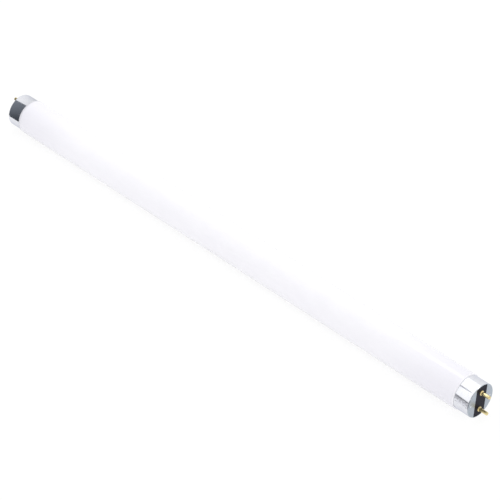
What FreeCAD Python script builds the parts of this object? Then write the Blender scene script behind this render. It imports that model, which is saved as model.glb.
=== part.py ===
import FreeCAD, Part
import math
import os

# A straight fluorescent tube with a two-pin cap at each end, in millimetres.
# The origin is the middle of the tube, on its axis. +X runs along the tube and the pins lie one above
# the other, in the XZ plane. One end is drawn at +X, and the other is the same end turned about Z.

# Lengths along the tube
face_to_face = 437.4
cap_length = 11.4
pin_length = 7.1

# Glass bulb
tube_diameter = 25.5
glass_wall = 0.7
shoulder_length = 1.8
neck_cover = 0.72
rim_radius = 1.0
stem_bore = 9.2
stem_depth = 14.3
stem_press_length = 8.0
stem_press_round = 2.0
flare_radius = 4.5
exhaust_diameter = 4.0
exhaust_inset = 1.2
stem_to_insulator = 3.0

# Cap shell, drawn from aluminium sheet
cap_diameter = 24.0
cap_sheet = 0.35
cap_corner_radius = 0.6
slot_width = 9.9
slot_depth = 1.0
cement_thickness = 0.5

# Stakes punched into the cap shell, two in the face and two in the barrel
face_stake_offset = 9.3
face_stake_radius = 1.2
face_stake_depth = 0.3
barrel_stake_inset = 1.5
barrel_stake_radius = 0.9
barrel_stake_depth = 0.35

# Insulator
insulator_thickness = 2.4
insulator_clearance = 0.05
bar_recess = 0.1

# Contact pins
pin_pitch = 12.7
pin_diameter = 2.35
pin_tip_round = 0.9
pin_bore = 1.5
pin_tip_wall = 2.6
collar_diameter = 3.55
collar_lip = 0.25
shank_diameter = 2.8
shank_clearance = 0.02
rivet_diameter = 3.8
rivet_thickness = 0.4

# Lead wires
wire_diameter = 0.5
wire_spacing = 6.6
wire_bend_radius = 2.0
wire_straight_past_flare = 0.7
wire_straight_before_pin = 1.3

# Places along the axis at the +X end, from the face inwards
face_x = face_to_face / 2
cap_edge_x = face_x - cap_length
seat_x = face_x - cap_sheet
bar_top_x = face_x - bar_recess
slot_floor_x = face_x - slot_depth
insulator_back_x = seat_x - insulator_thickness
rivet_back_x = insulator_back_x - rivet_thickness
rim_x = insulator_back_x - stem_to_insulator
flare_start_x = rim_x - flare_radius
stem_floor_x = rim_x - stem_depth
press_end_x = stem_floor_x - stem_press_length
exhaust_tip_x = rim_x - exhaust_inset
neck_x = cap_edge_x + neck_cover
shoulder_x = neck_x - shoulder_length
pin_tip_x = face_x + pin_length
pin_bore_end_x = pin_tip_x - pin_tip_wall

# Radii about the axis
tube_r = tube_diameter / 2
cap_r = cap_diameter / 2
cap_bore_r = cap_r - cap_sheet
neck_r = cap_bore_r - cement_thickness
insulator_r = cap_bore_r - insulator_clearance
stem_bore_r = stem_bore / 2
flare_mouth_r = stem_bore_r + flare_radius
exhaust_r = exhaust_diameter / 2

X_AXIS = FreeCAD.Vector(1, 0, 0)
Z_AXIS = FreeCAD.Vector(0, 0, 1)
ORIGIN = FreeCAD.Vector(0, 0, 0)


def at(x, r):
    """A point of a profile: x along the tube, r away from its axis."""
    return FreeCAD.Vector(x, 0, r)


def line(start, end):
    return Part.LineSegment(at(*start), at(*end)).toShape()


def arc(centre, radius, start_deg, end_deg):
    """An arc of a profile. Angles run from +X towards +R."""
    def point(degrees):
        turn = math.radians(degrees)
        return at(centre[0] + radius * math.cos(turn), centre[1] + radius * math.sin(turn))

    middle_deg = (start_deg + end_deg) / 2
    return Part.Arc(point(start_deg), point(middle_deg), point(end_deg)).toShape()


def outline(points):
    """The straight edges through the points, in order."""
    return [line(a, b) for a, b in zip(points, points[1:])]


def revolve(edges):
    """Turn a closed profile about the tube's axis into a solid."""
    wire = Part.Wire(Part.__sortEdges__(edges))
    return Part.Face(wire).revolve(ORIGIN, X_AXIS, 360)


def across(width, x_start, x_end):
    """A slab of the given width that crosses the whole cap face, along Z."""
    slab = Part.makeBox(x_end - x_start, width, cap_diameter)
    slab.translate(FreeCAD.Vector(x_start, -width / 2, -cap_r))
    return slab


def shoulder(inset):
    """The two equal arcs that draw the tube in to its neck, set in from the outside by inset."""
    drop = tube_r - neck_r
    turn = 2 * math.atan(drop / shoulder_length)
    radius = shoulder_length / (2 * math.sin(turn))
    turn_deg = math.degrees(turn)
    round_over = arc((shoulder_x, tube_r - radius), radius - inset, 90, 90 - turn_deg)
    run_out = arc((neck_x, neck_r + radius), radius + inset, 270 - turn_deg, 270)
    return [round_over, run_out]


def both_ends(edges):
    """The profile edges of the +X end with their mirror images at the other end."""
    return edges + [edge.mirror(ORIGIN, X_AXIS) for edge in edges]


def glass_outside():
    """The bulb's outer form, with the hollow stem and the exhaust stub at each end."""
    end = [
        arc((exhaust_tip_x - exhaust_r, 0), exhaust_r, 0, 90),
        *outline([
            (exhaust_tip_x - exhaust_r, exhaust_r),
            (stem_floor_x, exhaust_r),
            (stem_floor_x, stem_bore_r),
            (flare_start_x, stem_bore_r),
        ]),
        arc((flare_start_x, flare_mouth_r), flare_radius, 270, 360),
        line((rim_x, flare_mouth_r), (rim_x, neck_r - rim_radius)),
        arc((rim_x - rim_radius, neck_r - rim_radius), rim_radius, 0, 90),
        line((rim_x - rim_radius, neck_r), (neck_x, neck_r)),
        *shoulder(0),
    ]
    barrel = line((-shoulder_x, tube_r), (shoulder_x, tube_r))
    core = line((-exhaust_tip_x, 0), (exhaust_tip_x, 0))
    return revolve(both_ends(end) + [barrel, core])


def glass_inside():
    """The sealed space of the bulb, one wall in from its outside."""
    wall_x = rim_x - glass_wall
    inner_neck_r = neck_r - glass_wall
    inner_rim_radius = rim_radius - glass_wall
    stem_r = stem_bore_r + glass_wall
    press_corner_x = press_end_x + stem_press_round
    end = [
        line((press_end_x, 0), (press_end_x, stem_r - stem_press_round)),
        arc((press_corner_x, stem_r - stem_press_round), stem_press_round, 180, 90),
        line((press_corner_x, stem_r), (flare_start_x, stem_r)),
        arc((flare_start_x, flare_mouth_r), flare_radius - glass_wall, 270, 360),
        line((wall_x, flare_mouth_r), (wall_x, inner_neck_r - inner_rim_radius)),
        arc((wall_x - inner_rim_radius, inner_neck_r - inner_rim_radius), inner_rim_radius, 0, 90),
        line((wall_x - inner_rim_radius, inner_neck_r), (neck_x, inner_neck_r)),
        *shoulder(glass_wall),
    ]
    inner_tube_r = tube_r - glass_wall
    barrel = line((-shoulder_x, inner_tube_r), (shoulder_x, inner_tube_r))
    core = line((-press_end_x, 0), (press_end_x, 0))
    return revolve(both_ends(end) + [barrel, core])


def cap_envelope():
    """The full outer form of a cap, solid, with its rounded corner."""
    corner_x = face_x - cap_corner_radius
    edges = outline([(face_x, cap_r - cap_corner_radius), (face_x, 0), (cap_edge_x, 0),
                     (cap_edge_x, cap_r), (corner_x, cap_r)])
    edges.append(arc((corner_x, cap_r - cap_corner_radius), cap_corner_radius, 90, 0))
    return revolve(edges)


def cap_hollow():
    """The space inside a cap shell, one sheet in from the envelope."""
    inner_corner_radius = cap_corner_radius - cap_sheet
    corner_x = seat_x - inner_corner_radius
    edges = outline([(seat_x, cap_bore_r - inner_corner_radius), (seat_x, 0), (cap_edge_x, 0),
                     (cap_edge_x, cap_bore_r), (corner_x, cap_bore_r)])
    edges.append(arc((corner_x, cap_bore_r - inner_corner_radius), inner_corner_radius, 90, 0))
    return revolve(edges)


def stake_balls(growth):
    """A ball at each stake of a cap, as large as the punch plus growth."""
    face_ball_x = face_x + face_stake_radius - face_stake_depth
    barrel_ball_y = cap_r + barrel_stake_radius - barrel_stake_depth
    barrel_ball_x = face_x - barrel_stake_inset
    balls = []
    for side in (-1, 1):
        face_centre = FreeCAD.Vector(face_ball_x, side * face_stake_offset, 0)
        barrel_centre = FreeCAD.Vector(barrel_ball_x, side * barrel_ball_y, 0)
        balls.append(Part.makeSphere(face_stake_radius + growth, face_centre))
        balls.append(Part.makeSphere(barrel_stake_radius + growth, barrel_centre))
    return balls


def slot_walls():
    """The barrel's wall at the two ends of the slot, where it stands straight instead of turning in."""
    ring = revolve(outline([(slot_floor_x, cap_bore_r), (slot_floor_x, cap_r), (bar_top_x, cap_r),
                            (bar_top_x, cap_bore_r), (slot_floor_x, cap_bore_r)]))
    return ring.common(across(slot_width, slot_floor_x, face_x))


def cap_shell():
    """A drawn cup with a slot across its face, staked to its insulator at four places."""
    envelope = cap_envelope()
    shell = envelope.cut(cap_hollow())
    dents = [ball.common(envelope) for ball in stake_balls(cap_sheet)]
    shell = shell.fuse(dents).cut(stake_balls(0))
    shell = shell.cut(across(slot_width, slot_floor_x, face_x + cap_sheet))
    return shell.fuse(slot_walls()).removeSplitter()


def insulator():
    """A disc seated under the cap's face, with a bar that fills the slot from wall to wall."""
    corner_radius = cap_corner_radius - cap_sheet
    corner_x = seat_x - corner_radius
    edges = outline([(seat_x, insulator_r - corner_radius), (seat_x, 0), (insulator_back_x, 0),
                     (insulator_back_x, insulator_r), (corner_x, insulator_r)])
    edges.append(arc((corner_x, insulator_r - corner_radius), corner_radius, 90, 0))
    bar_width = slot_width - 2 * insulator_clearance
    bar_height = bar_top_x - slot_floor_x
    bar = Part.makeCylinder(insulator_r, bar_height, at(slot_floor_x, 0), X_AXIS)
    bar = bar.common(across(bar_width, slot_floor_x, bar_top_x))
    body = revolve(edges).fuse(bar).cut(stake_balls(cap_sheet + insulator_clearance))
    hole_radius = shank_diameter / 2 + shank_clearance
    for z in pin_heights():
        start = FreeCAD.Vector(insulator_back_x, 0, z)
        body = body.cut(Part.makeCylinder(hole_radius, bar_top_x - insulator_back_x, start, X_AXIS))
    return body.removeSplitter()


def pin_heights():
    """The heights of the upper and the lower pin above the tube's axis."""
    return (pin_pitch / 2, -pin_pitch / 2)


def contact_pin(height):
    """A hollow pin with a domed collar outside the insulator, riveted over behind it."""
    pin_r = pin_diameter / 2
    bore_r = pin_bore / 2
    shank_r = shank_diameter / 2
    collar_r = collar_diameter / 2
    rivet_r = rivet_diameter / 2
    dome_x = bar_top_x + collar_lip
    dome_radius = collar_r - pin_r
    tip_round_x = pin_tip_x - pin_tip_round
    edges = outline([
        (pin_tip_x, pin_r - pin_tip_round), (pin_tip_x, 0),
        (pin_bore_end_x, 0), (pin_bore_end_x, bore_r), (rivet_back_x, bore_r),
        (rivet_back_x, rivet_r), (insulator_back_x, rivet_r), (insulator_back_x, shank_r),
        (bar_top_x, shank_r), (bar_top_x, collar_r), (dome_x, collar_r),
    ])
    edges.append(arc((dome_x, pin_r), dome_radius, 90, 0))
    edges.append(line((dome_x + dome_radius, pin_r), (tip_round_x, pin_r)))
    edges.append(arc((tip_round_x, pin_r - pin_tip_round), pin_tip_round, 90, 0))
    pin = revolve(edges)
    pin.translate(FreeCAD.Vector(0, 0, height))
    return pin


def lead_wire(height):
    """A wire from the floor of the stem to the end of the pin's bore, with two tangent bends."""
    side = math.copysign(1, height)
    low = wire_spacing / 2
    high = abs(height)
    first_bend_x = flare_start_x + wire_straight_past_flare
    second_bend_x = rivet_back_x - wire_straight_before_pin
    slope = math.atan2(high - low, second_bend_x - first_bend_x)
    tangent = wire_bend_radius * math.tan(slope / 2)
    slope_deg = math.degrees(slope)
    along = (tangent * math.cos(slope), tangent * math.sin(slope))
    edges = [
        line((stem_floor_x, low), (first_bend_x - tangent, low)),
        arc((first_bend_x - tangent, low + wire_bend_radius), wire_bend_radius, 270, 270 + slope_deg),
        line((first_bend_x + along[0], low + along[1]), (second_bend_x - along[0], high - along[1])),
        arc((second_bend_x + tangent, high - wire_bend_radius), wire_bend_radius, 90 + slope_deg, 90),
        line((second_bend_x + tangent, high), (pin_bore_end_x, high)),
    ]
    section = Part.Wire(Part.makeCircle(wire_diameter / 2, at(stem_floor_x, low), X_AXIS))
    wire = Part.Wire(edges).makePipeShell([section], True, False)
    if side < 0:
        wire.rotate(ORIGIN, X_AXIS, 180)
    return wire


def cement_ring():
    """The cement that fills the room between the neck of the bulb and the cap shell."""
    end_x = rim_x - rim_radius
    return revolve(outline([(neck_x, neck_r), (end_x, neck_r), (end_x, cap_bore_r),
                            (neck_x, cap_bore_r), (neck_x, neck_r)]))


def end_pieces():
    """The pieces of the +X end, by name. {} takes the side of the lamp."""
    pieces = {
        "cap_shell_{}": cap_shell(),
        "insulator_{}": insulator(),
        "cement_ring_{}": cement_ring(),
    }
    for place, height in zip(("upper", "lower"), pin_heights()):
        pieces["contact_pin_{}_" + place] = contact_pin(height)
        pieces["lead_wire_{}_" + place] = lead_wire(height)
    return pieces


def lamp():
    """Every piece of the lamp, by node name."""
    pieces = {"glass_tube": glass_outside().cut(glass_inside())}
    for name, shape in end_pieces().items():
        pieces[name.format("right")] = shape
        turned = shape.copy()
        turned.rotate(ORIGIN, Z_AXIS, 180)
        pieces[name.format("left")] = turned
    return pieces


def single_solid(shape):
    """The one solid that a piece is made of."""
    (solid,) = shape.Solids
    return solid


os.makedirs("parts", exist_ok=True)
for node, shape in lamp().items():
    single_solid(shape).exportStep(f"parts/{node}.step")
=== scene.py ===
"""Looks of the fluorescent tube: finishes, floor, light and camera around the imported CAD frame."""

import math

import bpy
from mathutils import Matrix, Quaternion, Vector


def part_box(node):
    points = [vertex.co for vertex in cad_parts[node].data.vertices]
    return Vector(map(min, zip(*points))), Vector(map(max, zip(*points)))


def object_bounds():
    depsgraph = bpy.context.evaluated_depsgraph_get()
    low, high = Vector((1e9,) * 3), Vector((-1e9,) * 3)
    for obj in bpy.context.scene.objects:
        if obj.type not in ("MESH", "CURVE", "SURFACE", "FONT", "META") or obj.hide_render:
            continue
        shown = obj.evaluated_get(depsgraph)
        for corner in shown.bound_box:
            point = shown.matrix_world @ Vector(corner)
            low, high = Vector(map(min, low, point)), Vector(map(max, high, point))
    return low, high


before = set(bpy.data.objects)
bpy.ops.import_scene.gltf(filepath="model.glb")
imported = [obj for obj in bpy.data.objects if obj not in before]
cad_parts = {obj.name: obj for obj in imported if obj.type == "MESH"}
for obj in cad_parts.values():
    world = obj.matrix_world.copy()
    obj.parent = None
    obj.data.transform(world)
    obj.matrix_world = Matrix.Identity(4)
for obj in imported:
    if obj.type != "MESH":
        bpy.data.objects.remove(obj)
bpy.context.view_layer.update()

MM = 0.001

# Camera, found by fitting the tube's outline in the photograph (metres, degrees).
AIM = Vector((0.0103, 0.0066, -0.0026))
DISTANCE = 1.511
AZIMUTH = 42.77
ELEVATION = 35.52
ROLL = 4.05
LENS = 162.06
SENSOR = 36.0

# Places on the tube that the finishes and the cards follow, read from the frame.
cap_low, cap_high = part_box("cap_shell_right")
CAP_RADIUS = cap_high.z
CAP_FACE = cap_high.x
CAP_EDGE = cap_low.x
pin_low, pin_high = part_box("contact_pin_right_upper")
PIN_HEIGHT = (pin_low.z + pin_high.z) / 2
PIN_TIP = pin_high.x
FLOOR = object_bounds()[0][2]

# Sizes that no box gives: the shank of a pin, and the stakes in the end faces.
PIN_RADIUS = 1.2 * MM
STAKE_OFFSET = 9.3 * MM
STAKE_RADIUS = 0.8 * MM

# Where one finish gives way to another: start and end of the change, measured back towards the
# middle of the tube from the edge of the cap, and for the satin of the end face from that face.
COAT_FADE = (75 * MM, -5 * MM)
# Next two: painted shade at the left-hand joint of glass and cap, painted light at the right-hand
# one.
PAINTED_SHADE_AT_LEFT_JOINT = (2.7 * MM, 0.9 * MM)
PAINTED_LIGHT_AT_RIGHT_JOINT = (1.3 * MM, 0.5 * MM)
SATIN_FACE = (0.5 * MM, 0.1 * MM)

# A round bar that a card is mirrored in: the height of its axis, and its radius.
BARREL = (0.0, CAP_RADIUS)
UPPER_PIN = (PIN_HEIGHT, PIN_RADIUS)
LOWER_PIN = (-PIN_HEIGHT, PIN_RADIUS)

# Cards: strips round the bar, and the patches of a mottled one, in features per metre.
CARD_STEPS = 16
CARD_PATCHES = (600, 320, 320)

# Noise goes from one side of a mottled surface to the other between these limits.
MOTTLE_LIMITS = (0.35, 0.65)


def node(tree, kind, inputs=(), **properties):
    """A new shader node. Each input is a socket's value, or the output that is joined to it."""
    made = tree.nodes.new(kind)
    for key, value in properties.items():
        setattr(made, key, value)
    for socket, value in dict(inputs).items():
        if isinstance(value, bpy.types.NodeSocket):
            tree.links.new(value, made.inputs[socket])
        else:
            made.inputs[socket].default_value = value
    return made


def maths(tree, operation, first, second=0.0):
    """The output of one sum on two values."""
    made = node(tree, "ShaderNodeMath", {0: first, 1: second}, operation=operation)
    return made.outputs[0]


def product(tree, first, *others):
    """The output of all the values multiplied together."""
    for value in others:
        first = maths(tree, "MULTIPLY", first, value)
    return first


def ramp(tree, value, low, high, start=0.0, end=1.0):
    """A smooth step: start below low, end above high."""
    made = node(
        tree,
        "ShaderNodeMapRange",
        {"Value": value, "From Min": low, "From Max": high, "To Min": start, "To Max": end},
        interpolation_type="SMOOTHSTEP",
    )
    return made.outputs[0]


def mix_colour(tree, share, first, second):
    """first where share is 0, second where it is 1."""
    made = node(
        tree, "ShaderNodeMix", {"Factor": share, "A": first, "B": second}, data_type="RGBA"
    )
    return made.outputs["Result"]


def colour(red, green, blue):
    return (red, green, blue, 1.0)


def neutral(level):
    return colour(level, level, level)


class Finish:
    """A material with a Principled shader, and noise in the object's own coordinates to vary it."""

    def __init__(self, name):
        self.material = bpy.data.materials.new(name)
        self.material.use_nodes = True
        self.tree = self.material.node_tree
        self.shader = self.tree.nodes["Principled BSDF"]
        self.place = self.tree.nodes.new("ShaderNodeTexCoord").outputs["Object"]

    def set(self, **sockets):
        """Values or outputs for the shader's sockets, with _ for a space in a name."""
        for key, value in sockets.items():
            socket = self.shader.inputs[key.replace("_", " ")]
            if isinstance(value, bpy.types.NodeSocket):
                self.tree.links.new(value, socket)
            else:
                socket.default_value = value

    def noise(self, per_metre, detail):
        """Noise with so many features per metre along X, Y and Z."""
        mapped = node(
            self.tree, "ShaderNodeMapping", {"Vector": self.place, "Scale": per_metre}
        )
        made = node(
            self.tree,
            "ShaderNodeTexNoise",
            {"Vector": mapped.outputs[0], "Scale": 1.0, "Detail": detail, "Roughness": 0.55},
        )
        return made.outputs["Fac"]

    def patches(self, per_metre, low, high, detail=3.0):
        """Soft patches: 0 where the noise is below low, 1 where it is above high."""
        return self.ramp(self.noise(per_metre, detail), low, high)

    def axis(self, name):
        return node(self.tree, "ShaderNodeSeparateXYZ", {0: self.place}).outputs[name]

    def along(self):
        """Distance from the middle of the tube, the same towards both ends."""
        return maths(self.tree, "ABSOLUTE", self.axis("X"))

    def stake_distance(self):
        """Distance from the nearest of the stakes in the end faces, across the face."""
        side = maths(self.tree, "ABSOLUTE", self.axis("Y"))
        spot = node(self.tree, "ShaderNodeCombineXYZ", {"X": side, "Y": self.axis("Z")})
        made = node(
            self.tree,
            "ShaderNodeVectorMath",
            {0: spot.outputs[0], 1: (STAKE_OFFSET, 0, 0)},
            operation="DISTANCE",
        )
        return made.outputs["Value"]

    def bump(self, height, depth, strength):
        made = node(
            self.tree,
            "ShaderNodeBump",
            {"Height": height, "Distance": depth, "Strength": strength},
        )
        return made.outputs["Normal"]

    def ramp(self, *limits):
        return ramp(self.tree, *limits)

    def vary(self, share, start, end):
        """A number that goes smoothly from start to end as share goes from 0 to 1."""
        return self.ramp(share, 0.0, 1.0, start, end)

    def mix(self, share, first, second):
        return mix_colour(self.tree, share, first, second)

    def blend(self, share, first, second):
        """The number first where share is 0, second where it is 1."""
        made = node(self.tree, "ShaderNodeMix", {"Factor": share, "A": first, "B": second})
        return made.outputs["Result"]

    def paint(self, *nodes):
        for name in nodes:
            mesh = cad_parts[name].data
            mesh.materials.clear()
            mesh.materials.append(self.material)


def coated_glass():
    """White phosphor behind clear gloss glass: a mottled coat, thinner and greyer near the ends.

    At the left-hand end it is greyed short of the cap: painted shade on the glass's shoulder.
    At the right-hand end it is paler up to the cap: painted light over the shade at the joint.
    """
    glass = Finish("coated_glass_look")
    mottle = glass.patches((60, 140, 140), *MOTTLE_LIMITS)
    coat = glass.mix(mottle, colour(0.915, 0.907, 0.950), colour(0.930, 0.922, 0.962))
    end = glass.ramp(glass.along(), *(CAP_EDGE - back for back in COAT_FADE))
    tone = glass.mix(end, coat, colour(0.845, 0.835, 0.895))
    # Painted shade: the glass greyed at the left-hand joint, where its shoulder turns from the
    # light.
    left_joint_shade = glass.ramp(glass.axis("X"), *(back - CAP_EDGE for back in PAINTED_SHADE_AT_LEFT_JOINT))
    tone = glass.mix(left_joint_shade, tone, colour(0.65, 0.65, 0.69))
    # Painted light: the glass paled at the right-hand joint, over the shade between shoulder and
    # cap.
    right_joint_light = glass.ramp(glass.axis("X"), *(CAP_EDGE - back for back in PAINTED_LIGHT_AT_RIGHT_JOINT))
    tone = glass.mix(right_joint_light, tone, colour(0.89, 0.885, 0.925))
    streaks = glass.noise((6, 900, 900), detail=2.0)
    glass.set(
        Base_Color=tone,
        Roughness=glass.vary(mottle, 0.5, 0.6),
        Normal=glass.bump(mottle, depth=0.02 * MM, strength=0.3),
        Coat_Weight=1.0,
        Coat_Roughness=0.18,
        Coat_IOR=1.5,
        Coat_Normal=glass.bump(streaks, depth=0.004 * MM, strength=0.5),
    )
    glass.paint("glass_tube")


def cap_aluminium():
    """Drawn aluminium: a polished barrel with fine turned lines, and a satin end face."""
    cap = Finish("cap_aluminium_look")
    face = cap.ramp(cap.along(), *(CAP_FACE - back for back in SATIN_FACE))
    lines = cap.noise((7000, 30, 30), detail=2.0)
    smudge = cap.patches((260, 260, 260), 0.4, 0.7, detail=4.0)
    grain = cap.noise((2600, 2600, 2600), detail=2.0)
    barrel_tone = cap.mix(smudge, colour(0.80, 0.81, 0.85), colour(0.76, 0.77, 0.82))
    barrel_rough = cap.vary(smudge, 0.08, 0.15)
    face_tone = cap.mix(grain, colour(0.435, 0.48, 0.53), colour(0.49, 0.535, 0.585))
    # A punch has burnished the bottom of each stake in the face.
    stake = cap.ramp(cap.stake_distance(), 0.5 * STAKE_RADIUS, STAKE_RADIUS)
    face_tone = cap.mix(stake, colour(0.8, 0.81, 0.84), face_tone)
    face_rough = cap.blend(stake, 0.12, 0.36)
    height = cap.blend(face, lines, grain)
    cap.set(
        Base_Color=cap.mix(face, barrel_tone, face_tone),
        Metallic=1.0,
        Specular_Tint=colour(0.76, 0.77, 0.82),
        Roughness=cap.blend(face, barrel_rough, face_rough),
        Normal=cap.bump(height, depth=0.004 * MM, strength=0.6),
    )
    cap.paint("cap_shell_left", "cap_shell_right")


def black_insulator():
    """Black moulded insulator: a fine sparked grain, a little paler where it is rubbed."""
    black = Finish("black_insulator_look")
    grain = black.noise((1800, 1800, 1800), detail=3.0)
    rub = black.patches((220, 220, 220), 0.45, 0.7)
    black.set(
        Base_Color=black.mix(rub, colour(0.005, 0.005, 0.014), colour(0.010, 0.010, 0.020)),
        Roughness=black.vary(rub, 0.36, 0.48),
        Specular_IOR_Level=0.08,
        Normal=black.bump(grain, depth=0.02 * MM, strength=0.3),
    )
    black.paint("insulator_left", "insulator_right")


def pin_brass():
    """Drawn brass: streaks along the pin, and a browner tarnish in places."""
    brass = Finish("pin_brass_look")
    streaks = brass.noise((120, 5000, 5000), detail=2.0)
    tarnish = brass.patches((500, 500, 500), 0.42, 0.72)
    brass.set(
        Base_Color=brass.mix(tarnish, colour(0.82, 0.70, 0.38), colour(0.68, 0.54, 0.26)),
        Metallic=0.8,
        Roughness=brass.ramp(streaks, 0.3, 0.7, 0.12, 0.22),
        Normal=brass.bump(streaks, depth=0.006 * MM, strength=0.6),
    )
    brass.paint(*(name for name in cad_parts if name.startswith("contact_pin")))


def capping_cement():
    """Baked capping cement: buff and grainy. The caps hide it."""
    cement = Finish("capping_cement_look")
    grain = cement.noise((1500, 1500, 1500), detail=5.0)
    cement.set(
        Base_Color=cement.mix(grain, colour(0.48, 0.40, 0.29), colour(0.66, 0.58, 0.45)),
        Roughness=cement.vary(grain, 0.8, 0.95),
        Normal=cement.bump(grain, depth=0.08 * MM, strength=0.8),
    )
    cement.paint("cement_ring_left", "cement_ring_right")


def lead_wire():
    """Drawn lead wire: dull, with streaks along its length and a blue-brown oxide from sealing."""
    wire = Finish("lead_wire_look")
    streaks = wire.noise((400, 9000, 9000), detail=2.0)
    oxide = wire.patches((350, 350, 350), 0.45, 0.7)
    wire.set(
        Base_Color=wire.mix(oxide, colour(0.62, 0.60, 0.57), colour(0.42, 0.38, 0.36)),
        Metallic=1.0,
        Roughness=wire.ramp(streaks, 0.3, 0.7, 0.25, 0.4),
        Normal=wire.bump(streaks, depth=0.004 * MM, strength=0.5),
    )
    wire.paint(*(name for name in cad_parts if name.startswith("lead_wire")))


def seen_ray(tree):
    """1 for rays that show the background: from the camera, mirrored, or let through."""
    path = tree.nodes.new("ShaderNodeLightPath").outputs
    seen = maths(tree, "MAXIMUM", path["Is Camera Ray"], path["Is Glossy Ray"])
    return maths(tree, "MAXIMUM", seen, path["Is Transmission Ray"])


def add_mesh(name, points, faces):
    mesh = bpy.data.meshes.new(name)
    mesh.from_pydata(points, [], faces)
    piece = bpy.data.objects.new(name, mesh)
    bpy.context.scene.collection.objects.link(piece)
    return piece


def add_floor():
    """A plain pale floor. Seen directly it is about white, with the tube's soft shadow on it."""
    half = 6.0
    shown_tone, shown_glow = 0.14, 0.88
    corners = [(x * half, y * half, FLOOR) for x, y in ((-1, -1), (1, -1), (1, 1), (-1, 1))]
    floor = add_mesh("floor", corners, [(0, 1, 2, 3)])
    material = bpy.data.materials.new("floor_look")
    material.use_nodes = True
    tree = material.node_tree
    tree.nodes.clear()
    pale = node(tree, "ShaderNodeBsdfDiffuse", {"Color": colour(0.98, 0.98, 0.99)})
    shown = node(tree, "ShaderNodeBsdfDiffuse", {"Color": neutral(shown_tone)})
    lift = node(tree, "ShaderNodeEmission", {"Color": neutral(1), "Strength": shown_glow})
    white = node(tree, "ShaderNodeAddShader", {0: shown.outputs[0], 1: lift.outputs[0]})
    both = node(
        tree, "ShaderNodeMixShader", {0: seen_ray(tree), 1: pale.outputs[0], 2: white.outputs[0]}
    )
    node(tree, "ShaderNodeOutputMaterial", {"Surface": both.outputs[0]})
    floor.data.materials.append(material)


def add_world():
    """A soft studio dome, seen as plain white.

    Its light is dim low down, more so in front of the tube than behind it. It falls off past the
    tube's far end and is brighter past its near end. Where it is mirrored, the white falls off
    past the far end too, and elsewhere has a dim strip above the horizon. The limits of the
    ramps are parts of the direction.
    """
    front_low, front_high = 0.44, 1.05
    back_low, back_high = 0.82, 1.15
    far_share, past_share, near_share = 0.87, 0.3, 1.2
    strip_depth = 0.6
    world = bpy.data.worlds.new("studio")
    bpy.context.scene.world = world
    world.use_nodes = True
    tree = world.node_tree
    tree.nodes.clear()
    way = tree.nodes.new("ShaderNodeTexCoord").outputs["Generated"]
    path = tree.nodes.new("ShaderNodeLightPath").outputs
    along, across, height = node(tree, "ShaderNodeSeparateXYZ", {0: way}).outputs
    front = ramp(tree, height, 0.0, 0.4, front_low, front_high)
    back = ramp(tree, height, 0.0, 0.9, back_low, back_high)
    behind = ramp(tree, across, -0.3, 0.2)
    side = node(tree, "ShaderNodeMix", {"Factor": behind, "A": front, "B": back})
    past_end = ramp(tree, along, -1.0, -0.70, past_share, 1.0)
    strip = product(
        tree,
        ramp(tree, height, 0.3, 0.5),
        ramp(tree, height, 0.7, 0.9, 1.0, 0.0),
        ramp(tree, along, -0.30, -0.15),
        strip_depth,
    )
    mirrored = product(tree, past_end, maths(tree, "SUBTRACT", 1.0, strip))
    shown = node(
        tree, "ShaderNodeMix", {"Factor": path["Is Glossy Ray"], "A": 1.0, "B": mirrored}
    )
    level = product(
        tree,
        side.outputs["Result"],
        ramp(tree, along, -0.70, -0.50, far_share, 1.0),
        past_end,
        ramp(tree, along, 0.0, 0.8, 1.0, near_share),
    )
    dome = node(tree, "ShaderNodeBackground", {"Color": neutral(1), "Strength": level})
    white = node(
        tree,
        "ShaderNodeBackground",
        {"Color": neutral(1), "Strength": shown.outputs["Result"]},
    )
    both = node(
        tree, "ShaderNodeMixShader", {0: seen_ray(tree), 1: dome.outputs[0], 2: white.outputs[0]}
    )
    node(tree, "ShaderNodeOutputWorld", {"Surface": both.outputs[0]})


def add_softbox():
    """One lamp overhead, whose mirror image is the highlight on the pins and along the glass."""
    length, width, radiance = 0.5, 0.24, 3.2
    lamp = bpy.data.lights.new("softbox", "AREA")
    lamp.shape = "RECTANGLE"
    lamp.size = length
    lamp.size_y = width
    lamp.energy = radiance * math.pi * length * width
    softbox = bpy.data.objects.new("softbox", lamp)
    softbox.location = (-0.46, 0.27, 1.0)
    bpy.context.scene.collection.objects.link(softbox)


def add_camera():
    turn, rise = math.radians(AZIMUTH), math.radians(ELEVATION)
    back = Vector(
        (math.sin(turn) * math.cos(rise), -math.cos(turn) * math.cos(rise), math.sin(rise))
    )
    camera = bpy.data.objects.new("camera", bpy.data.cameras.new("camera"))
    camera.data.lens = LENS
    camera.data.sensor_width = SENSOR
    camera.location = AIM + DISTANCE * back
    camera.rotation_mode = "QUATERNION"
    level = back.to_track_quat("Z", "Y")
    camera.rotation_quaternion = level @ Quaternion((0, 0, 1), math.radians(ROLL))
    bpy.context.scene.collection.objects.link(camera)
    bpy.context.scene.camera = camera
    return camera


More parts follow.
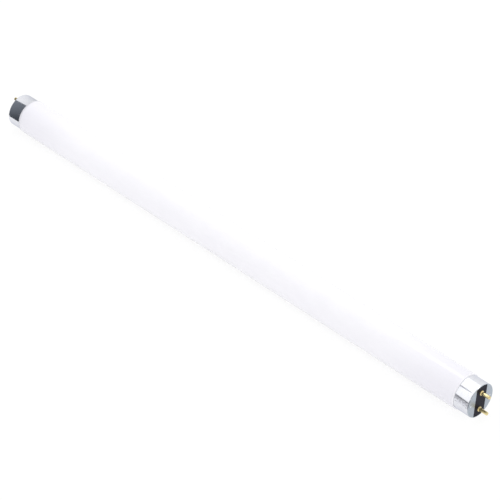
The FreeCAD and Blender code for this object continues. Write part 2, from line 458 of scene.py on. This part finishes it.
def card_look(name, points, low_shade, high_shade, rise, mottle):
    """A glow of one shade, or from the low to the high shade in the direction rise.

    A mottled glow has patches, in which that share of the way is added or taken off.
    """
    material = bpy.data.materials.new(name)
    material.use_nodes = True
    tree = material.node_tree
    tree.nodes.clear()
    shade = low_shade
    if high_shade:
        place = tree.nodes.new("ShaderNodeTexCoord").outputs["Object"]
        level = node(tree, "ShaderNodeVectorMath", {0: place, 1: rise}, operation="DOT_PRODUCT")
        levels = [Vector(rise).dot(point) for point in points]
        share = ramp(tree, level.outputs["Value"], min(levels), max(levels))
        if mottle:
            mapped = node(tree, "ShaderNodeMapping", {"Vector": place, "Scale": CARD_PATCHES})
            noise = node(tree, "ShaderNodeTexNoise", {"Vector": mapped.outputs[0], "Scale": 1.0})
            patch = ramp(tree, noise.outputs["Fac"], *MOTTLE_LIMITS, -mottle, mottle)
            share = maths(tree, "ADD", share, patch)
        shade = mix_colour(tree, share, low_shade, high_shade)
    glow = node(tree, "ShaderNodeEmission", {"Color": shade, "Strength": 1.0})
    node(tree, "ShaderNodeOutputMaterial", {"Surface": glow.outputs[0]})
    return material


def add_card(
    name,
    camera,
    span,
    start,
    end,
    reach,
    low_shade,
    high_shade=None,
    bar=BARREL,
    lean=(0, 0),
    rise=(0, 0, 1),
    mottle=0.0,
):
    """A glowing card, seen only mirrored in a round bar between two angles: a painted reflection.

    The angles are measured round the bar from the top towards the camera's side, in degrees, and
    each is a pair: at the first and at the second end of span, the places along the tube. There the
    surface leans by so many degrees towards the tube's right-hand end, as the rounded edge of a cap
    does. The card stands off by reach. Only mirrored rays meet it, so it takes no light from the
    tube and throws no shadow.
    """
    height, radius = bar
    points = []
    for step in range(CARD_STEPS + 1):
        for x, first, last, tilt in zip(span, start, end, lean):
            angle = math.radians(first + (last - first) * step / CARD_STEPS)
            tilt = math.radians(tilt)
            out = Vector((0, -math.sin(angle), math.cos(angle)))
            normal = Vector((math.sin(tilt), 0, 0)) + math.cos(tilt) * out
            spot = radius * out + Vector((x, 0, height))
            ray = (spot - camera.location).normalized()
            points.append(spot + reach * ray.reflect(normal))
    faces = [(2 * i, 2 * i + 1, 2 * i + 3, 2 * i + 2) for i in range(CARD_STEPS)]
    card = add_mesh(name, points, faces)
    look = card_look(name + "_look", points, low_shade, high_shade, rise, mottle)
    card.data.materials.append(look)
    card.visible_camera = False
    card.visible_diffuse = False
    card.visible_transmission = False
    card.visible_shadow = False


def add_far_cards(camera):
    """Painted reflections on the far cap, a dark band under a white one, and a dark one on its pin.
    """
    cap = (-CAP_FACE - 5 * MM, -CAP_EDGE + 3 * MM)
    pin_tip = (-PIN_TIP - 2 * MM, -CAP_FACE)
    top, seam, foot = (-44, -44), (28.2, 22.2), (87.7, 94.5)
    add_card(
        "far_dark", camera, cap, seam, foot, reach=24 * MM, rise=(-1.4, 0, 0.8),
        low_shade=colour(0.045, 0.05, 0.058), high_shade=colour(0.21, 0.23, 0.26),
    )
    add_card(
        "far_white", camera, cap, top, seam, reach=24 * MM, rise=(-1, 0, 0.3),
        low_shade=neutral(0.8), high_shade=neutral(1.08),
    )
    add_card(
        "far_pin", camera, pin_tip, (10, 10), (136, 136), reach=4 * MM, bar=UPPER_PIN,
        low_shade=colour(0.12, 0.12, 0.13),
    )


def add_near_cards(camera):
    """Painted reflections on the near cap: white with a fine grey line, and below it a broken dark
    edge.

    Painted reflections also fall on the rounded corner between barrel and face, in slate, on the
    upper pin as a bright painted highlight, and on the lower pin in silver.
    """
    cap = (CAP_EDGE - 1 * MM, CAP_FACE)
    line = (cap[0], CAP_FACE - 2 * MM)
    corner = (CAP_FACE, CAP_FACE)
    shank = (CAP_FACE + 2.3 * MM, CAP_FACE + 4.5 * MM)
    pin = (CAP_FACE + 2.0 * MM, PIN_TIP)
    seam = (70, 73.5)
    grey = colour(0.5, 0.5, 0.53)
    add_card(
        "near_white", camera, cap, (3, 3), (66, 66), reach=80 * MM,
        low_shade=neutral(1.2), high_shade=neutral(1.34),
    )
    add_card("near_line", camera, line, (36, 38), (41, 40), reach=50 * MM, low_shade=grey)
    add_card(
        "near_edge", camera, cap, (66, 70), seam, reach=16 * MM, mottle=0.6,
        low_shade=colour(0.10, 0.10, 0.11), high_shade=grey,
    )
    add_card(
        "near_dark", camera, cap, seam, (90, 90), reach=16 * MM, mottle=0.6,
        low_shade=colour(0.98, 0.98, 1.0), high_shade=colour(0.44, 0.44, 0.46),
    )
    add_card(
        "near_corner", camera, corner, (60, 60), (88, 88), reach=6 * MM, lean=(10, 70),
        low_shade=colour(0.3, 0.3, 0.32),
    )
    add_card(
        "near_pin", camera, shank, (0, 0), (35, 35), reach=1.6 * MM, bar=UPPER_PIN,
        low_shade=neutral(2.3),
    )
    add_card(
        "near_low_pin", camera, pin, (-44, -44), (0, 0), reach=1.6 * MM, bar=LOWER_PIN,
        low_shade=neutral(0.8),
    )


coated_glass()
cap_aluminium()
black_insulator()
pin_brass()
capping_cement()
lead_wire()

add_floor()
add_world()
add_softbox()
photo_camera = add_camera()
add_far_cards(photo_camera)
add_near_cards(photo_camera)

bpy.context.scene.view_settings.view_transform = "Standard"
